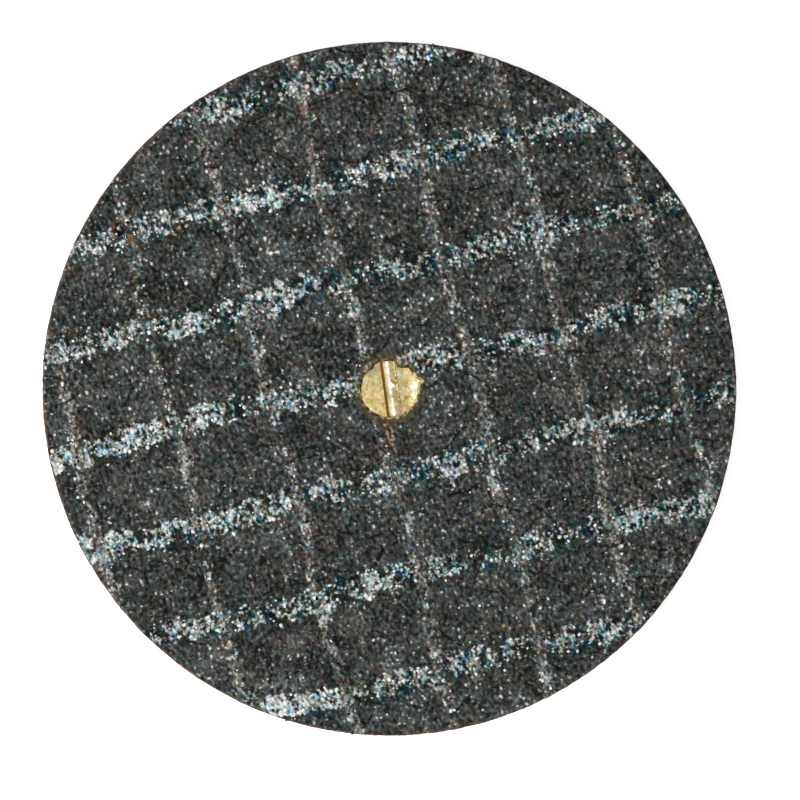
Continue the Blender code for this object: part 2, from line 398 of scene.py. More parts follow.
def makeWeaveTree():
    lengths = ("Pitch", "Warp shift", "Weft shift", "Weft width", "Weft height", "Warp width", "Warp height",
               "Press", "Slope", "Drift", "Drift length", "Drift step", "Ragged", "Grain height", "Groove",
               "Turn")
    others = {"Face": ("String", ""), "Way": ("Float", 1.0)}
    tree, start, end, here = geometryTree("wovenFace", lengths, others)
    split = partsOf(tree, turnBy(tree, here, product(tree, start["Turn"], -1.0)))
    along, across = split["X"], product(tree, split["Y"], start["Way"])
    inMm = scaled(tree, here, 1 / mm)
    weftWidth, warpWidth = start["Weft width"], start["Warp width"]

    ragged = wobble(tree, inMm, start["Ragged"], 1.5, 3.0, 0.65)
    weftPlace = strandDistance(tree, across, along, start["Weft shift"], start)
    warpPlace = strandDistance(tree, along, across, start["Warp shift"], start)
    weftDistance = sumOf(tree, maths(tree, "ABSOLUTE", weftPlace), ragged)
    warpDistance = sumOf(tree, maths(tree, "ABSOLUTE", warpPlace), product(tree, ragged, 0.4))
    weft = strandMask(tree, weftDistance, weftWidth, start["Slope"])
    warp = strandMask(tree, warpDistance, warpWidth, start["Slope"])

    pressed = less(tree, start["Warp height"], product(tree, start["Press"], weft))
    strands = sumOf(tree, product(tree, weft, start["Weft height"]), product(tree, warp, pressed))
    beside = maths(tree, "ABSOLUTE", less(tree, warpPlace, product(tree, warpWidth, 2.2)))
    groove = mapped(tree, beside, warpWidth, product(tree, warpWidth, 0.3), smooth=True)
    groove = product(tree, groove, less(tree, 1.0, warp))
    strands = less(tree, strands, product(tree, groove, start["Groove"]))
    grains = less(tree, noise(tree, inMm, 3.6, 4.0, 0.7), 0.5)
    rough = product(tree, sumOf(tree, grains, wobble(tree, inMm, 0.7, 0.7)), start["Grain height"])
    share = named(tree, start["Face"])
    lift = product(tree, sumOf(tree, strands, rough), share, start["Way"])
    moved = setPlace(tree, start["Geometry"], Offset=vectorOf(tree, Z=lift))
    weftNear = mapped(tree, weftDistance, product(tree, weftWidth, 0.90), product(tree, weftWidth, 0.20),
                      smooth=True)
    warpNear = mapped(tree, warpDistance, product(tree, warpWidth, 2.3), product(tree, warpWidth, 0.3),
                      smooth=True)
    for name, mask in (("weft", weftNear), ("warp", warpNear), ("hollow", groove)):
        moved = stored(tree, moved, name, sumOf(tree, named(tree, name), product(tree, mask, share)))
    fill(tree, end["Geometry"], moved)
    return tree


def makeKnocksTree():  # breaks the rim inwards, sinks the pit and keeps the wheel inside its real size
    lengths = ("Radius", "Roughness", "Top", "Pit radius", "Pit depth", "Pit raggedness")
    tree, start, end, here = geometryTree("knocks", lengths, {"Pit centre": ("Vector", None)})
    inMm = scaled(tree, here, 1 / mm)
    split = partsOf(tree, here)
    flat = vectorOf(tree, X=split["X"], Y=split["Y"])

    edge = less(tree, start["Radius"], product(tree, start["Roughness"], 0.5))
    atRim = maths(tree, "GREATER_THAN", distanceOf(tree, flat), edge)
    bite = product(tree, mapped(tree, noise(tree, inMm, 3.0, 4.0, 0.7), 0.3, 0.75), start["Roughness"])
    shrink = maths(tree, "DIVIDE", product(tree, bite, atRim), start["Radius"])
    inward = scaled(tree, flat, product(tree, shrink, -1.0))

    reach = distanceOf(tree, vectorMaths(tree, "SUBTRACT", flat, start["Pit centre"]))
    reach = sumOf(tree, reach, wobble(tree, inMm, start["Pit raggedness"], 3.0))
    steep = mapped(tree, reach, start["Pit radius"], product(tree, start["Pit radius"], 0.6), smooth=True)
    sink = product(tree, steep, named(tree, "frontShare"), start["Pit depth"])
    high = maths(tree, "MAXIMUM", maths(tree, "MINIMUM", split["Z"], start["Top"]), 0.0)
    settled = vectorOf(tree, X=split["X"], Y=split["Y"], Z=less(tree, high, sink))
    moved = setPlace(tree, start["Geometry"], Position=settled, Offset=inward)
    fill(tree, end["Geometry"], stored(tree, moved, "pit", steep))
    return tree


def makeWheel():
    piece = makeBlank()
    face = makeWeaveTree()
    useTree(piece, face, Face="frontShare", Way=1.0, **weave, **frontWeave)
    useTree(piece, face, Face="backShare", Way=-1.0, **weave, **backWeave)
    useTree(piece, makeKnocksTree(), Radius=wheel["radius"], Roughness=wheel["rimRoughness"],
            Top=wheel["top"], Pit_centre=(*pit["centre"], 0.0), Pit_radius=pit["radius"],
            Pit_depth=pit["depth"], Pit_raggedness=pit["raggedness"])
    madePlain(piece)
    piece.data.shade_smooth()
    return piece


wheelPiece = makeWheel()
print("Wheel:", len(wheelPiece.data.polygons), "faces")


# Materials

def newMaterial(name):
    material = bpy.data.materials.new(name)
    material.use_nodes = True
    tree = material.node_tree
    return material, tree, tree.nodes["Principled BSDF"].inputs


def ramp(tree, value, stops):
    node = addNode(tree, "ShaderNodeValToRGB", {"Fac": value})
    elements = node.color_ramp.elements
    while len(elements) < len(stops):
        elements.new(0.5)
    for element, (place, colour) in zip(elements, stops):
        element.position = place
        element.color = (*colour, 1) if isinstance(colour, tuple) else (colour, colour, colour, 1)
    return node.outputs["Color"]


def finishLook(tree, shader, colour, roughness, gloss):
    fill(tree, shader["Base Color"], colour)
    fill(tree, shader["Roughness"], roughness)
    fill(tree, shader["Specular IOR Level"], gloss)


def bumps(tree, height, strength, depth):
    return addNode(tree, "ShaderNodeBump", {
        "Height": height, "Strength": strength, "Distance": depth}).outputs[0]


def mixed(tree, factor, first, second):
    node = addNode(tree, "ShaderNodeMix", data_type="RGBA")
    fill(tree, node.inputs[0], factor)
    fill(tree, node.inputs[6], first)
    fill(tree, node.inputs[7], second)
    return node.outputs[2]


def attribute(tree, name):
    return addNode(tree, "ShaderNodeAttribute", attribute_name=name).outputs["Fac"]


def objectMm(tree):  # Object coordinates, in millimetres
    here = addNode(tree, "ShaderNodeTexCoord").outputs["Object"]
    return addNode(tree, "ShaderNodeMapping", {"Vector": here, "Scale": (1 / mm,) * 3}).outputs[0]


def channels(tree, colour):
    return addNode(tree, "ShaderNodeSeparateColor", {"Color": colour}).outputs


def group(tree, made, **values):
    node = addNode(tree, "ShaderNodeGroup", node_tree=made)
    for name, value in values.items():
        fill(tree, node.inputs[name.replace("_", " ")], value)
    return node.outputs


def wandering(tree, place, away, amount):  # another part of a pattern, bent by slow noise
    moved = shiftBy(tree, place, (away, away * 0.7, away * 0.3))
    return shiftBy(tree, moved, bendOf(tree, moved, amount, 1.6))


def drawnOut(tree, place, angle, length, narrow=1.0):  # a pattern stretched along one direction
    return stretchBy(tree, turnBy(tree, place, math.radians(-angle)), (1 / length, narrow, 1.0))


def makeSpeckle():  # round crumbs and short strokes between dark gaps, with slower drifts of shade
    given = {"Vector": ("Vector", None), "Rate": ("Float", 1.0)}
    made = {name: ("Float", None) for name in ("Crumbs", "Middle", "Coarse")}
    tree, start, end = newTree("grainSpeckle", "ShaderNodeTree", given, {**made, "Hue": ("Color", None)})
    place = start["Vector"]
    layers = []
    for angle, rate, away in ((110, 3.0, 5.0), (10, 4.2, 15.0)):
        spot = drawnOut(tree, wandering(tree, place, away, 0.14), angle, 1.5)
        cells = voronoi(tree, spot, product(tree, start["Rate"], rate))
        dot = mapped(tree, cells["Distance"], 0.48, 0.06, smooth=True)
        layers.append(product(tree, dot, channels(tree, cells["Color"])["Red"]))
    crumbs = maths(tree, "MAXIMUM", *layers)
    spot = drawnOut(tree, wandering(tree, place, 7.0, 0.2), 110, 1.2, 1.1)
    strokes = noise(tree, spot, product(tree, start["Rate"], 4.0), 1.0)
    fill(tree, end["Crumbs"], sumOf(tree, product(tree, crumbs, 0.6), product(tree, strokes, 1.3)))
    slower = ("Middle", 1.5, 1.0, (19.0, -7.0, 0.0)), ("Coarse", 0.5, 2.0, (-11.0, 5.0, 0.0))
    for name, rate, detail, away in slower:
        slow = noise(tree, shiftBy(tree, place, away), rate, detail)
        fill(tree, end[name], less(tree, slow, 0.5))
    away = shiftBy(tree, place, (37.0, -21.0, 11.0))
    fill(tree, end["Hue"], noise(tree, away, 2.2, 2.0, output="Color"))
    return tree


def makeTint():  # the same step of colour in dark and light places: brown to teal, and magenta to green
    given = {"Color": ("Color", None), "Blue": ("Float", 0.0), "Green": ("Float", 0.01)}
    tree, start, end = newTree("tintShift", "ShaderNodeTree", given, {"Color": ("Color", None)})
    seen = addNode(tree, "ShaderNodeGamma", {"Color": start["Color"], "Gamma": 1 / 2.2}).outputs[0]
    step = shiftBy(tree, scaled(tree, (-0.58, 0.12, 0.46), start["Blue"]), vectorOf(tree, Y=start["Green"]))
    shifted = vectorMaths(tree, "MAXIMUM", shiftBy(tree, seen, step), (0.02, 0.02, 0.02))
    fill(tree, end["Color"], addNode(tree, "ShaderNodeGamma", {"Color": shifted, "Gamma": 2.2}).outputs[0])
    return tree


def makeCracks():  # broken dark hairlines, mostly lying across
    given = {"Vector": ("Vector", None), "Rate": ("Float", 0.42), "Width": ("Float", 0.055),
             "Amount": ("Float", 0.5)}
    tree, start, end = newTree("hairCracks", "ShaderNodeTree", given, {"Mask": ("Float", None)})
    bent = start["Vector"]
    for rate, amount in ((0.8, 0.62), (4.0, 0.10)):  # long bends and small jags
        bent = shiftBy(tree, bent, bendOf(tree, start["Vector"], amount, rate))
    squashed = stretchBy(tree, bent, (0.75, 1.35, 1.0))
    lines = voronoi(tree, squashed, start["Rate"], "DISTANCE_TO_EDGE")["Distance"]
    broken = noise(tree, shiftBy(tree, start["Vector"], (5.0, 9.0, 3.0)), 0.85, 2.0)
    edge = less(tree, 0.75, product(tree, start["Amount"], 0.5))
    shown = mapped(tree, broken, edge, sumOf(tree, edge, 0.10))
    fine = mapped(tree, shown, 0.0, 0.8, 0.3, 1.0)  # they run out to fine ends
    reach = product(tree, start["Width"], start["Rate"], fine)
    thin = mapped(tree, lines, reach, product(tree, reach, 0.5), smooth=True)
    fill(tree, end["Mask"], product(tree, thin, maths(tree, "GREATER_THAN", shown, 0.02)))
    return tree


abrasive = {
    "grainRate": 1.20,
    "shadeScale": 0.62,
    "cellShades": ((0.21, 0.005), (0.28, 0.014), (0.36, 0.03), (0.46, 0.054), (0.54, 0.083), (0.60, 0.12),
                   (0.69, 0.20), (0.77, 0.32)),  # of the grit, from its gaps to its brightest crumbs
    # the glass strands' crumbs: pale glass, with painted glints at the bright end
    "bandShades": ((0.20, 0.001), (0.27, 0.006), (0.32, 0.018), (0.39, 0.07), (0.45, 0.165), (0.60, 0.55),
                   (0.70, 0.78), (0.78, 0.98)),
    "threadShades": ((0.24, 0.022), (0.35, 0.062), (0.45, 0.125), (0.57, 0.25), (0.72, 0.55)),
    "threadWarmth": 0.025,
    "coolShifts": ((0.27, 0.0), (0.42, 0.033), (0.50, 0.068), (0.58, 0.117), (0.64, 0.19), (0.71, 0.28)),
    "wallShades": ((0.24, 0.012), (0.35, 0.03), (0.45, 0.06), (0.56, 0.12), (0.70, 0.3)),
    "stainShades": ((0.24, 0.02), (0.35, 0.045), (0.45, 0.11), (0.57, 0.24)),
    "stainWarmth": 0.15,
    "cracks": 0.52,  # how much of the face has them
    "crackWidth": 0.070,  # mm
    "crackAndShade": (0.005, 0.0045, 0.004, 1),
    "sheenAndWearLeft": 1.08,  # how bare the glass lies at the left, and at the right: wear, with painted sheen brighter on the lamp side
    "sheenAndWearRight": 0.82,
    "brightLeft": 0.055,  # and how bright its crumbs are: a painted highlight, brighter on the lamp side
    "dullRight": -0.04,
    "hollow": 0.16,  # painted shade in the groove along each warp strand
    "sparkle": 0.15,
    "patches": 0.125,  # brighter patches of grit in the cells
    "voids": 0.85,  # black gaps in the strands, most at the right
    "spotHeight": 1.1,  # mm, for the spots and the streak
    "rimRustAndLight": (0.19, 0.075, 0.035, 1),
    "rusty": (0.20, 0.085, 0.035, 1),
    "rustySpots": ((-15.0, 8.62, 0.42), (-14.12, 8.15, 0.30), (-14.55, 9.05, 0.25), (0.45, 1.40, 0.13),
                   (-0.70, 1.56, 0.11)),  # mm
    "amber": (0.55, 0.36, 0.10, 1),
    "amberSpots": ((-11.50, 8.81, 0.13), (-13.82, 6.12, 0.10), (4.90, -6.83, 0.12), (5.00, -7.87, 0.10),
                   (6.27, -12.98, 0.14)),
    "grimeShades": ((0.26, (0.035, 0.014, 0.004)), (0.36, (0.17, 0.090, 0.024)), (0.45, (0.46, 0.32, 0.125)),
                    (0.56, (0.80, 0.66, 0.38))),
    "topDarkening": (0.050, 0.020, 0.009, 1),  # darker along the top of the hole's edge
    "halo": (0.16, 0.115, 0.052, 1),  # brass dust round the screw
    "haloReach": (2.05, 1.66),  # mm from the axis, where it starts and where it is full
    "haloAmount": 0.48,
    "wallThread": (0.22, 0.17, 0.11, 1),
    "wallMiddle": 0.6,  # mm above the floor
    "wallLayer": 0.40,  # mm from there to each of the rim's two lines of glass
    "streak": (0.02, -2.44, 0.22, 1.0, 16.0),  # its middle, half width and half length in mm, and its lean
    "streakShades": ((0.24, (0.030, 0.016, 0.008)), (0.35, (0.085, 0.050, 0.028)),
                     (0.45, (0.19, 0.125, 0.080)), (0.58, (0.48, 0.37, 0.27))),
    "roughness": 0.6,
}

speckle = makeSpeckle()
tintShift = makeTint()
cracks = makeCracks()


def makeAbrasive():
    material, tree, shader = newMaterial("abrasive")
    place = objectMm(tree)
    split = partsOf(tree, place)
    grains = group(tree, speckle, Vector=place, Rate=abrasive["grainRate"])
    weft, warp = attribute(tree, "weft"), attribute(tree, "warp")
    slope = sheenAndWearAlong(tree, split, 1.0)

    def shade(middle, coarse):
        drift = sumOf(tree, product(tree, grains["Middle"], middle), product(tree, grains["Coarse"], coarse))
        return product(tree, sumOf(tree, grains["Crumbs"], drift), abrasive["shadeScale"])

    def acrossWheel(right, left):  # a value that changes from the wheel's right side to its lower left, more worn and with brighter painted sheen
        return mapped(tree, slope, -5.0, 15.0, right, left)

    def drifting(away, *settings):
        return noise(tree, shiftBy(tree, place, away), *settings)

    clumps = sumOf(tree, product(tree, grains["Middle"], 1.7), product(tree, grains["Coarse"], 2.0))
    clumps = product(tree, clumps, acrossWheel(1.25, 0.85))
    onWeft = sumOf(tree, weft, product(tree, clumps, mapped(tree, weft, 0.0, 0.25, 0.55, 1.0)))
    onWarp = sumOf(tree, product(tree, warp, 0.76), product(tree, clumps, 0.5))
    bare = maths(tree, "MAXIMUM", onWeft, onWarp)
    exposed = product(tree, mapped(tree, bare, 0.32, 1.10, 0.0, 1.15),
                      acrossWheel(abrasive["sheenAndWearRight"], abrasive["sheenAndWearLeft"]))
    patches = mapped(tree, drifting((8.0, -9.0, 0.0), 0.6, 3.0, 0.6), 0.46, 0.68)
    exposed = maths(tree, "MAXIMUM", exposed, product(tree, patches, abrasive["sparkle"]))
    inCells = sumOf(tree, shade(0.35, 0.45), product(tree, less(tree, patches, 0.22), abrasive["patches"]))
    inBands = shade(0.6, 0.6)
    exposed = sumOf(tree, exposed, product(tree, less(tree, inBands, 0.45), 1.35))
    exposed = mapped(tree, exposed, 0.38, 0.78)  # at the edges of a strand only the brightest crumbs show
    # painted highlight: the glass crumbs brighter towards the lamp side
    lit = sumOf(tree, inBands, acrossWheel(abrasive["dullRight"], abrasive["brightLeft"]))
    base = mixed(tree, exposed, ramp(tree, inCells, abrasive["cellShades"]),
                 ramp(tree, lit, abrasive["bandShades"]))

    # painted shade: the warp strand's shadow falling in the groove beside it
    hollow = product(tree, attribute(tree, "hollow"), less(tree, 1.0, weft))
    base = mixed(tree, product(tree, hollow, abrasive["hollow"]), base, abrasive["crackAndShade"])
    voids = product(tree, mapped(tree, grains["Middle"], -0.07, -0.14), mapped(tree, weft, 0.35, 0.9))
    voids = product(tree, voids, acrossWheel(abrasive["voids"], 0.25),
                    mapped(tree, inBands, 0.50, 0.38, 0.3, 1.0))
    base = mixed(tree, voids, base, abrasive["crackAndShade"])
    strandGap = mapped(tree, drifting((-7.0, 4.0, 0.0), 0.5, 2.0), 0.42, 0.55, 0.60, 1.0)
    threaded = product(tree, mapped(tree, warp, 0.15, 0.85, 0.0, 0.80, smooth=True), strandGap)
    base = mixed(tree, threaded, base, ramp(tree, shade(0.3, 0.3), abrasive["threadShades"]))

    hue = channels(tree, grains["Hue"])
    glassy = mapped(tree, maths(tree, "MAXIMUM", weft, product(tree, warp, 0.45)), 0.1, 0.9)

    def hueStep(channel, low, high):
        return mapped(tree, hue[channel], 0.25, 0.75, low, high)

    def blend(first, second):  # from grit to glass
        return addNode(tree, "ShaderNodeMix", {"Factor": glassy, "A": first, "B": second},
                       data_type="FLOAT").outputs[0]

    cool = less(tree, ramp(tree, hue["Red"], abrasive["coolShifts"]), 0.05)
    blue = blend(hueStep("Red", -0.042, 0.046), cool)
    green = blend(hueStep("Green", -0.010, 0.028), hueStep("Green", -0.035, 0.065))
    stain = mapped(tree, drifting((11.0, 2.0, 0.0), 0.9, 3.0, 0.6), 0.53, 0.66)
    stain = product(tree, stain, mapped(tree, warp, 0.0, 0.7, 0.08, 0.40))
    blue = less(tree, blue, product(tree, threaded, abrasive["threadWarmth"]))
    blue = less(tree, blue, product(tree, stain, abrasive["stainWarmth"]))
    green = less(tree, green, product(tree, stain, 0.02))
    base = mixed(tree, product(tree, stain, 0.6), base, ramp(tree, shade(0.2, 0.0), abrasive["stainShades"]))
    base = group(tree, tintShift, Color=base, Blue=blue, Green=green)["Color"]

    level = abrasive["spotHeight"]
    x, y, halfWidth, halfLength, lean = abrasive["streak"]
    streak = turnBy(tree, vectorMaths(tree, "SUBTRACT", place, (x, y, level)), -math.radians(lean))
    streak = distanceOf(tree, stretchBy(tree, streak, (1 / halfWidth, 1 / halfLength, 0.6)))
    streak = mapped(tree, sumOf(tree, streak, product(tree, grains["Middle"], 1.4)), 1.1, 0.6, 0.0, 0.85)
    base = mixed(tree, streak, base, ramp(tree, shade(0.6, 0.4), abrasive["streakShades"]))
    ragged = wobble(tree, place, 0.9, 4.0, 1.0)
    for name, edge in (("rusty", 0.5), ("amber", 0.3)):
        for x, y, size in abrasive[name + "Spots"]:
            away = distanceOf(tree, vectorMaths(tree, "SUBTRACT", place, (x, y, level)))
            away = sumOf(tree, away, product(tree, ragged, size))
            base = mixed(tree, mapped(tree, away, size, size * edge, 0.0, 0.85), base, abrasive[name])

    lines = group(tree, cracks, Vector=place, Amount=abrasive["cracks"], Width=abrasive["crackWidth"])
    cracked = product(tree, lines["Mask"], mapped(tree, weft, 0.0, 0.8, 0.9, 0.2),
                      mapped(tree, inCells, 0.56, 0.44, 0.5, 1.0))
    base = mixed(tree, cracked, base, abrasive["crackAndShade"])
    # painted shade: the pit's hollow darkened nearly to black
    base = mixed(tree, product(tree, attribute(tree, "pit"), 0.9), base, abrasive["crackAndShade"])

    reach, rim = flatReach(tree, place), wheel["radius"] / mm
    # a rust-brown line round the rim's edge: rust, with painted light making it stronger towards the lamp
    # side
    rusty = product(tree, mapped(tree, reach, rim - 0.16, rim - 0.06),
                    mapped(tree, slope, -15.0, 5.0, 0.25, 0.9),
                    mapped(tree, grains["Middle"], -0.12, 0.06, 0.25, 1.0))
    base = mixed(tree, rusty, base, abrasive["rimRustAndLight"])
    fromMiddle = maths(tree, "ABSOLUTE", less(tree, split["Z"], abrasive["wallMiddle"]))
    layer = mapped(tree, maths(tree, "ABSOLUTE", less(tree, fromMiddle, abrasive["wallLayer"])), 0.09, 0.03)
    dashes = mapped(tree, noise(tree, stretchBy(tree, place, (1.0, 1.0, 0.3)), 1.3, 2.0), 0.50, 0.60)
    wallTone = ramp(tree, shade(0.4, 0.2), abrasive["wallShades"])
    wallTone = mixed(tree, product(tree, layer, dashes), wallTone, abrasive["wallThread"])
    base = mixed(tree, mapped(tree, reach, rim - 0.07, rim - 0.04), base, wallTone)

    halo = sumOf(tree, reach, product(tree, grains["Middle"], 0.8))
    halo = mapped(tree, halo, *abrasive["haloReach"], 0.0, abrasive["haloAmount"])
    base = mixed(tree, halo, base, abrasive["halo"])
    grime = ramp(tree, shade(0.8, 0.0), abrasive["grimeShades"])
    grime = mixed(tree, mapped(tree, split["Y"], 0.85, 1.30, 0.0, 0.75), grime, abrasive["topDarkening"])
    base = mixed(tree, mapped(tree, attribute(tree, "bore"), 0.35, 0.95, 0.0, 0.95), base, grime)
    finishLook(tree, shader, base, abrasive["roughness"], 0.05)
    fill(tree, shader["Normal"], bumps(tree, noise(tree, place, 4.5, 0.0), 0.35, 0.05 * mm))
    return material


wheelPiece.data.materials.append(makeAbrasive())
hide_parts("abrasive_wheel")
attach(wheelPiece, "root")


# Chips of grit and glass

chipField = {
    "rimGap": 0.12 * mm,
    "boreShare": 1.22,  # where they start, as a share of the bore's radius
}

glassChips = {
    "Cell_density": 0.11,  # chips per square millimetre
    "Band_density": 4.0,
    "Warp_density": 1.8,
    "Size": 0.115 * mm,
    "Seed": 11,
    "shades": ((0.0, 0.10), (0.35, 0.32), (0.70, 0.72), (0.90, 0.95), (1.0, 1.0)),
    "shifts": ((0.0, 0.0), (0.04, 0.14), (0.20, 0.175), (0.60, 0.20), (0.86, 0.24), (0.96, 0.31),
               (1.0, 0.42)),
    "roughness": 0.25,
    "gloss": 0.5,
}

gritChips = {
    "Cell_density": 1.1,
    "Band_density": 1.0,
    "Warp_density": 0.0,
    "Size": 0.105 * mm,
    "Seed": 23,
    "shades": ((0.0, 0.008), (0.50, 0.028), (0.80, 0.055), (0.94, 0.09), (0.99, 0.16), (1.0, 0.30)),
    "shifts": ((0.0, 0.05), (0.03, 0.16), (0.50, 0.19), (0.90, 0.21), (1.0, 0.26)),
    "roughness": 0.4,
    "gloss": 0.12,
}


def makeChipTree():
    lengths = ("Cell density", "Band density", "Warp density", "Size", "Outer radius", "Inner radius", "Top")
    others = {"Seed": ("Int", 1), "Material": ("Material", None)}
    tree, start, end, here = geometryTree("chips", lengths, others)
    split = partsOf(tree, here)
    level = maths(tree, "ABSOLUTE", partsOf(tree, addNode(tree, "GeometryNodeInputNormal").outputs[0])["Z"])
    reach = flatReach(tree, here)
    inside = product(tree, maths(tree, "LESS_THAN", reach, start["Outer radius"]),
                     maths(tree, "GREATER_THAN", reach, start["Inner radius"]))
    allowed = product(tree, inside, maths(tree, "GREATER_THAN", level, 0.5))  # on the faces, not on the rim

    # chips grow denser towards the lower left, with the wear and the brighter painted sheen there
    worn = mapped(tree, sheenAndWearAlong(tree, split, mm), -19.0, 19.0, 0.3, 1.3)
    clumps = mapped(tree, noise(tree, scaled(tree, here, 1 / mm), 0.9, 2.0, 0.6), 0.38, 0.60, 0.3, 1.5)
    weft = product(tree, named(tree, "weft"), worn, clumps)
    density = sumOf(tree, start["Cell density"], product(tree, weft, start["Band density"]),
                    product(tree, named(tree, "warp"), start["Warp density"]))
    density = product(tree, density, allowed, mm ** -2)
    spread = addNode(tree, "GeometryNodeDistributePointsOnFaces", {
        "Mesh": start["Geometry"], "Density": density, "Seed": start["Seed"]}, distribute_method="RANDOM")

    def chance(kind, low, high, step):
        node = addNode(tree, "FunctionNodeRandomValue", data_type=kind)
        sockets = [s for s in node.inputs if s.enabled]
        fill(tree, sockets[0], low)
        fill(tree, sockets[1], high)
        fill(tree, node.inputs["Seed"], sumOf(tree, start["Seed"], step))
        return [s for s in node.outputs if s.enabled][0]

    ball = addNode(tree, "GeometryNodeMeshIcoSphere", {"Subdivisions": 1, "Radius": start["Size"]})
    crystal = addNode(tree, "GeometryNodeSetShadeSmooth", {"Geometry": ball.outputs["Mesh"]}).outputs[0]
    height = maths(tree, "DIVIDE", split["Z"], start["Size"])  # 1 at the top and 0 at the widest
    crystal = stored(tree, crystal, "chipHeight", height)
    even = scaled(tree, (1.0, 1.0, 1.0), chance("FLOAT", 0.55, 1.3, 2.0))
    stretch = stretchBy(tree, chance("FLOAT_VECTOR", (0.7, 0.7, 0.4), (1.3, 1.3, 0.7), 1.0), even)
    tilt = chance("FLOAT_VECTOR", (-0.4, -0.4, 0.0), (0.4, 0.4, math.tau), 3.0)
    points = spread.outputs["Points"]
    placed = addNode(tree, "GeometryNodeInstanceOnPoints", {
        "Points": points, "Instance": crystal, "Rotation": tilt, "Scale": stretch}).outputs[0]
    for number, name in enumerate(("chipShade", "chipTint")):
        placed = stored(tree, placed, name, chance("FLOAT", 0.0, 1.0, 4.0 + number), "INSTANCE")
    real = addNode(tree, "GeometryNodeRealizeInstances", {"Geometry": placed}).outputs[0]
    height = maths(tree, "MAXIMUM", maths(tree, "MINIMUM", split["Z"], start["Top"]), 0.0)
    held = setPlace(tree, real, Position=vectorOf(tree, X=split["X"], Y=split["Y"], Z=height))
    fill(tree, end["Geometry"], addNode(tree, "GeometryNodeSetMaterial", {
        "Geometry": held, "Material": start["Material"]}).outputs[0])
    return tree


def makeChipMaterial(name, look):
    material, tree, shader = newMaterial(name)
    dust = mapped(tree, noise(tree, objectMm(tree), 6.0, 2.0), 0.35, 0.65, 0.75, 1.1)
    footShade = maths(tree, "ABSOLUTE", attribute(tree, "chipHeight"))
    footShade = mapped(tree, footShade, 0.20, 0.65, 0.10, 1.0)  # painted shade round its foot
    tone = scaled(tree, ramp(tree, attribute(tree, "chipShade"), look["shades"]), product(tree, dust, footShade))
    blue = less(tree, ramp(tree, attribute(tree, "chipTint"), look["shifts"]), 0.2)
    tone = group(tree, tintShift, Color=tone, Blue=blue, Green=0.015)["Color"]
    finishLook(tree, shader, tone, look["roughness"], look["gloss"])
    return material


def makeChips(name, look):
    piece = newPiece(name, wheelPiece.data.copy())
    settings = {key: value for key, value in look.items() if key[0].isupper()}
    useTree(piece, chipTree, Material=makeChipMaterial(name, look), Top=wheel["top"],
            Outer_radius=wheel["radius"] - chipField["rimGap"],
            Inner_radius=wheel["boreRadius"] * chipField["boreShare"], **settings)
    madePlain(piece)
    print(name + ":", len(piece.data.polygons), "faces")
    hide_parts("abrasive_wheel")
    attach(piece, "root")


chipTree = makeChipTree()
makeChips("glassChips", glassChips)
makeChips("gritChips", gritChips)


# The screw

screw = {
    "voxel": 0.022 * mm,
    "rounding": 4,  # smoothing steps of its edges
    "merge": 0.0005 * mm,
    "slotTurn": math.radians(7.9),
    "slotShift": 0.10 * mm,
    "slotLeft": -0.42 * mm,
    "slotRight": 0.35 * mm,
}

brass = {
    "shades": ((0.24, (0.29, 0.20, 0.075)), (0.38, (0.47, 0.35, 0.14)), (0.50, (0.60, 0.475, 0.215)),
               (0.62, (0.70, 0.585, 0.31)), (0.76, (0.88, 0.80, 0.58))),
    "grime": (0.46, 0.22, 0.027, 1),
    "slotGrime": 0.20,  # width of the dirt in the slot's deep left corner, mm
    "slope": (-0.28, -0.18, -0.02, 0.12),  # mm across: its shade starts, is full, fades and stops
    "slopeShade": 0.68,
    "flat": (-0.02, 0.10, 0.36, 0.46),
    "flatShade": 0.67,
    "edgeShade": 0.56,  # the line at the right of the slot's flat
    "darkSpots": ((-0.95, 0.98, 0.60, 0.62), (0.05, 1.00, 0.16, 0.75),
                  (0.04, -0.28, 0.48, 0.80)),  # darker spots: places, sizes and shades
    "scratches": (0.17, 0.30, 0.26),  # bright strokes across the slot's floor
    "rimBrown": (0.36, 0.235, 0.075, 1),
    "slotHighlight": (0.86, 0.83, 0.70, 1),  # painted highlight: paler, whiter metal along the slot's sloping side
    "highlightSpots": ((1.42, 0.16, 0.26), (1.45, -0.42, 0.16), (-0.12, 1.10, 0.20),
               (0.30, -1.25, 0.18)),  # painted highlights on tilted facets that catch the lamp: places and sizes
    "highlightAndScratch": (0.95, 0.90, 0.74, 1),
    "roughness": (0.30, 0.55),
}


def slotAcross(tree, place, shift, turn):  # distance across the driver slot from its middle
    back = vectorMaths(tree, "SUBTRACT", place, vectorOf(tree, X=shift))
    return partsOf(tree, turnBy(tree, back, product(tree, turn, -1.0)))["X"]


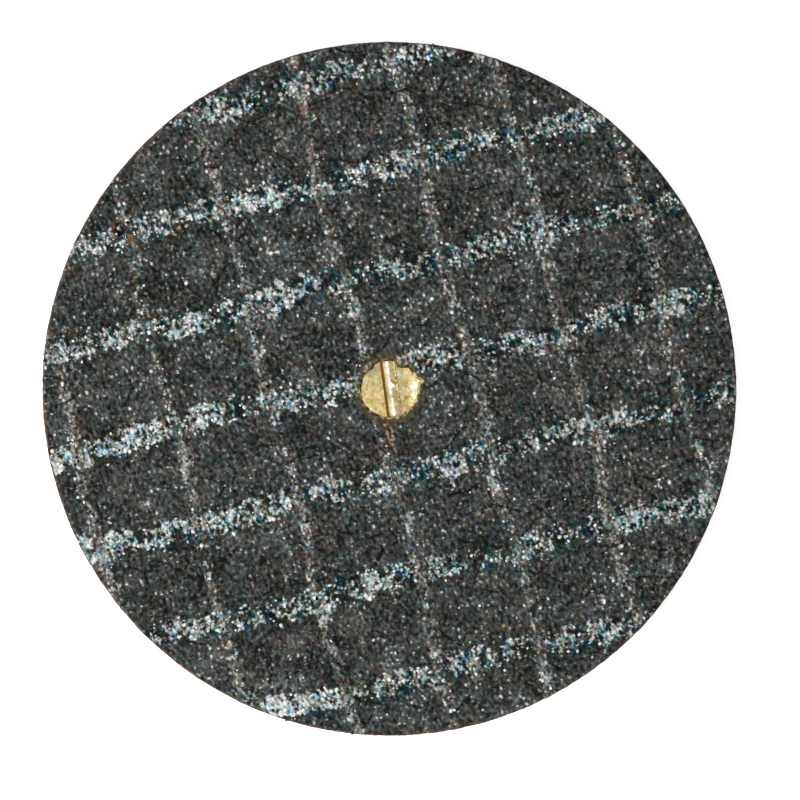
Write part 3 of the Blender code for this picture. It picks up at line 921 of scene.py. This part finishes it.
def makeScrewTree():
    lengths = ("Slot turn", "Slot shift", "Slot left", "Slot right")
    others = {"Dents": ("Float", 0.02 * mm), "Grain": ("Float", 0.008 * mm), "Packed": ("Float", 0.5),
              "Slot dents": ("Float", 0.04 * mm), "Face": ("Float", 1.02 * mm)}
    tree, start, end, here = geometryTree("wornBrass", lengths, others)
    left, right, face = start["Slot left"], start["Slot right"], start["Face"]
    inMm = scaled(tree, here, 1 / mm)
    across = slotAcross(tree, here, start["Slot shift"], start["Slot turn"])
    height = partsOf(tree, here)["Z"]
    inSlot = product(tree, mapped(tree, across, left, product(tree, left, 0.7)),
                     mapped(tree, across, right, product(tree, right, 0.3)))
    nearFace = mapped(tree, height, less(tree, face, 0.42 * mm), less(tree, face, 0.36 * mm))
    dents = wobble(tree, inMm, start["Dents"], 1.6, 3.0, 0.6, middle=0.52)
    grain = wobble(tree, inMm, start["Grain"], 8.0, 3.0, 0.7)
    lumps = wobble(tree, inMm, start["Slot dents"], 3.0, 2.0, 0.6)
    rise = sumOf(tree, dents, grain, product(tree, lumps, inSlot))
    filled = mapped(tree, across, left, -0.06 * mm, start["Packed"], 0.0)  # dirt packed in the corner
    filled = product(tree, filled, mapped(tree, across, -0.47 * mm, -0.43 * mm))
    raised = product(tree, filled, less(tree, face, height))
    rise = sumOf(tree, rise, maths(tree, "MAXIMUM", raised, 0.0))
    moved = setPlace(tree, start["Geometry"], Offset=vectorOf(tree, Z=product(tree, rise, nearFace)))
    level = partsOf(tree, addNode(tree, "GeometryNodeInputNormal").outputs[0])["Z"]
    edge = product(tree, mapped(tree, level, 0.92, 0.60),
                   mapped(tree, flatReach(tree, here), 1.05 * mm, 1.20 * mm), less(tree, 1.0, inSlot))
    fill(tree, end["Geometry"], stored(tree, moved, "edge", edge))
    return tree


def makeBrass():
    material, tree, shader = newMaterial("brass")
    place = objectMm(tree)
    height = partsOf(tree, place)["Z"]
    across = slotAcross(tree, place, screw["slotShift"] / mm, screw["slotTurn"])

    def fromSpot(x, y, factors=(1.0, 1.0, 0.0)):
        return distanceOf(tree, stretchBy(tree, vectorMaths(tree, "SUBTRACT", place, (x, y, 0.0)), factors))

    def between(start, full, fade, stop):  # a stripe along the slot
        return product(tree, mapped(tree, across, start, full), mapped(tree, across, stop, fade))

    def darkened(colour, mask, tone):
        return scaled(tree, colour, mapped(tree, mask, 0.0, 1.0, 1.0, tone))

    mottle = sumOf(tree, noise(tree, place, 5.5, 2.0, 0.6), wobble(tree, place, 0.5, 1.3))
    hue = channels(tree, noise(tree, shiftBy(tree, place, (4.0, 4.0, 0.0)), 5.5, 2.0, output="Color"))
    base = ramp(tree, mottle, brass["shades"])
    base = group(tree, tintShift, Color=base, Blue=mapped(tree, hue["Red"], 0.25, 0.75, -0.10, 0.10),
                 Green=mapped(tree, hue["Green"], 0.25, 0.75, -0.05, 0.06))["Color"]
    pale = mapped(tree, hue["Blue"], 0.25, 0.75, 0.45, 1.60)  # yellower and paler patches
    base = stretchBy(tree, base, vectorOf(tree, X=1.0, Y=1.0, Z=pale))
    # painted highlights on small tilted facets
    for x, y, size in brass["highlightSpots"]:
        away = sumOf(tree, fromSpot(x, y), product(tree, less(tree, mottle, 0.5), 0.8))
        base = mixed(tree, mapped(tree, away, size, size * 0.4, 0.0, 0.85), base, brass["highlightAndScratch"])

    slopeMask = between(*brass["slope"])
    # painted highlight along the slot's sloping side, which faces the lamp
    slopeHighlight = noise(tree, shiftBy(tree, place, (2.0, 6.0, 0.0)), 1.6, 3.0, 0.65)
    slopeHighlight = product(tree, slopeMask, mapped(tree, slopeHighlight, 0.40, 0.60, 0.25, 0.85))
    base = mixed(tree, slopeHighlight, base, brass["slotHighlight"])
    base = scaled(tree, base, mapped(tree, slopeHighlight, 0.0, 0.8, 1.0, 0.80))
    # painted shade that dims the sloping side where the lamp lights it strongly
    base = darkened(base, slopeMask, brass["slopeShade"])
    for x, y, size, tone in brass["darkSpots"]:
        base = scaled(tree, base, mapped(tree, fromSpot(x, y), size, size * 0.3, 1.0, tone, smooth=True))
    beyond = product(tree, mapped(tree, across, 0.34, 0.44), mapped(tree, across, 1.1, 0.7, 1.28, 0.86))
    beyond = sumOf(tree, beyond, mapped(tree, across, 0.44, 0.34))
    atEdge = mapped(tree, maths(tree, "ABSOLUTE", less(tree, across, 0.36)), 0.10, 0.03)
    atEdge = product(tree, atEdge, mapped(tree, mottle, 0.40, 0.52, 1.0, 0.5))
    base = darkened(base, between(*brass["flat"]), brass["flatShade"])
    base = scaled(tree, darkened(base, atEdge, brass["edgeShade"]), beyond)
    x, y, size = brass["scratches"]
    lines = mapped(tree, noise(tree, drawnOut(tree, place, -38, 4.0, 1.6), 3.5, 1.0), 0.48, 0.58, 0.0, 0.9)
    lines = product(tree, lines, mapped(tree, fromSpot(x, y, (1.0, 0.8, 0.0)), size, size * 0.5))
    base = mixed(tree, lines, base, brass["highlightAndScratch"])

    corner = less(tree, across, screw["slotLeft"] / mm)
    ragged = sumOf(tree, corner, wobble(tree, place, 0.12, 4.0))
    dirty = product(tree, mapped(tree, ragged, brass["slotGrime"], brass["slotGrime"] * 0.55),
                    mapped(tree, height, 1.00, 0.96), mapped(tree, corner, -0.05, -0.02))
    dirty = maths(tree, "MAXIMUM", dirty, mapped(tree, height, 0.62, 0.45, 0.0, 0.6))
    base = mixed(tree, dirty, base, brass["grime"])
    atRim = attribute(tree, "edge")
    # the screw's rounded edge in dark brown and not metal
    base = mixed(tree, product(tree, atRim, 0.85), base, brass["rimBrown"])
    rough, smooth = brass["roughness"][1], brass["roughness"][0]
    finishLook(tree, shader, base, mapped(tree, mottle, 0.35, 0.65, rough, smooth), 0.05)
    fill(tree, shader["Metallic"], less(tree, 1.0, maths(tree, "MAXIMUM", dirty, atRim)))
    fill(tree, shader["Normal"], bumps(tree, noise(tree, place, 9.0, 3.0, 0.7), 0.3, 0.03 * mm))
    return material


def makeScrew():
    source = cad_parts["centre_screw"]
    mesh = source.data.copy()
    solid = bmesh.new()
    solid.from_mesh(mesh)
    bmesh.ops.transform(solid, matrix=source.matrix_world, verts=solid.verts[:])
    bmesh.ops.remove_doubles(solid, verts=solid.verts[:], dist=screw["merge"])
    solid.to_mesh(mesh)
    solid.free()
    piece = newPiece("centreScrew", mesh)
    piece.data.materials.clear()
    remesh = piece.modifiers.new("evenSkin", "REMESH")
    remesh.mode, remesh.voxel_size, remesh.use_smooth_shade = "VOXEL", screw["voxel"], True
    smooth = piece.modifiers.new("worn", "SMOOTH")
    smooth.factor, smooth.iterations = 0.5, screw["rounding"]
    useTree(piece, makeScrewTree(), Slot_turn=screw["slotTurn"], Slot_shift=screw["slotShift"],
            Slot_left=screw["slotLeft"], Slot_right=screw["slotRight"])
    madePlain(piece)
    print("Screw:", len(piece.data.polygons), "faces")
    piece.data.materials.append(makeBrass())
    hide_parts("centre_screw")
    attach(piece, "root")


makeScrew()


# Floor, light and camera

stage = {
    "floorHalf": 0.6,
    "floorGlow": 0.7,  # as the camera sees it; the shadow stays in it
    "world": 0.5,
    "frameWidth": 43.77 * mm,  # across the picture, at the wheel's face
    "lens": 100.0,
    "sensor": 36.0,
    "aim": (0.585 * mm, -0.611 * mm),
    "clip": (0.005, 5.0),
    "keyPlace": (-0.28, -0.14, 0.24),
    "keySize": 0.14,
    "keyWatts": 1.25,
}


def makeFloor():
    size = stage["floorHalf"]
    mesh = bpy.data.meshes.new("floor")
    corners = [(-size, -size, 0), (size, -size, 0), (size, size, 0), (-size, size, 0)]
    mesh.from_pydata(corners, [], [(0, 1, 2, 3)])
    floor = newPiece("floor", mesh)
    material, tree, shader = newMaterial("floorWhite")
    finishLook(tree, shader, (0.8, 0.8, 0.8, 1), 1.0, 0.0)
    shader["Emission Color"].default_value = (1, 1, 1, 1)
    path = addNode(tree, "ShaderNodeLightPath").outputs
    fill(tree, shader["Emission Strength"], product(tree, path["Is Camera Ray"], stage["floorGlow"]))
    mesh.materials.append(material)


def makeWorld():
    world = bpy.data.worlds.new("studio")
    bpy.context.scene.world = world
    world.use_nodes = True
    tree = world.node_tree
    path = addNode(tree, "ShaderNodeLightPath").outputs
    seen = maths(tree, "MAXIMUM", maths(tree, "MAXIMUM", path["Is Camera Ray"], path["Is Glossy Ray"]),
                 path["Is Transmission Ray"])
    background = tree.nodes["Background"]
    background.inputs["Color"].default_value = (1, 1, 1, 1)
    fill(tree, background.inputs["Strength"], mapped(tree, seen, 0.0, 1.0, stage["world"], 1.0))


def addLamp(name, place, size, watts):
    data = bpy.data.lights.new(name, "AREA")
    data.size = size
    data.energy = watts
    lamp = newPiece(name, data)
    lamp.location = place
    lamp.rotation_euler = (-Vector(place)).to_track_quat("-Z", "Y").to_euler()


def makeCamera():
    data = bpy.data.cameras.new("camera")
    data.lens, data.sensor_width = stage["lens"], stage["sensor"]
    data.clip_start, data.clip_end = stage["clip"]
    camera = newPiece("camera", data)
    distance = stage["frameWidth"] * stage["lens"] / stage["sensor"]
    camera.location = (*stage["aim"], wheel["frontCell"] + distance)
    bpy.context.scene.camera = camera


makeFloor()
makeWorld()
addLamp("keyLamp", stage["keyPlace"], stage["keySize"], stage["keyWatts"])
makeCamera()
bpy.context.scene.view_settings.view_transform = "Standard"

print("Finishing")
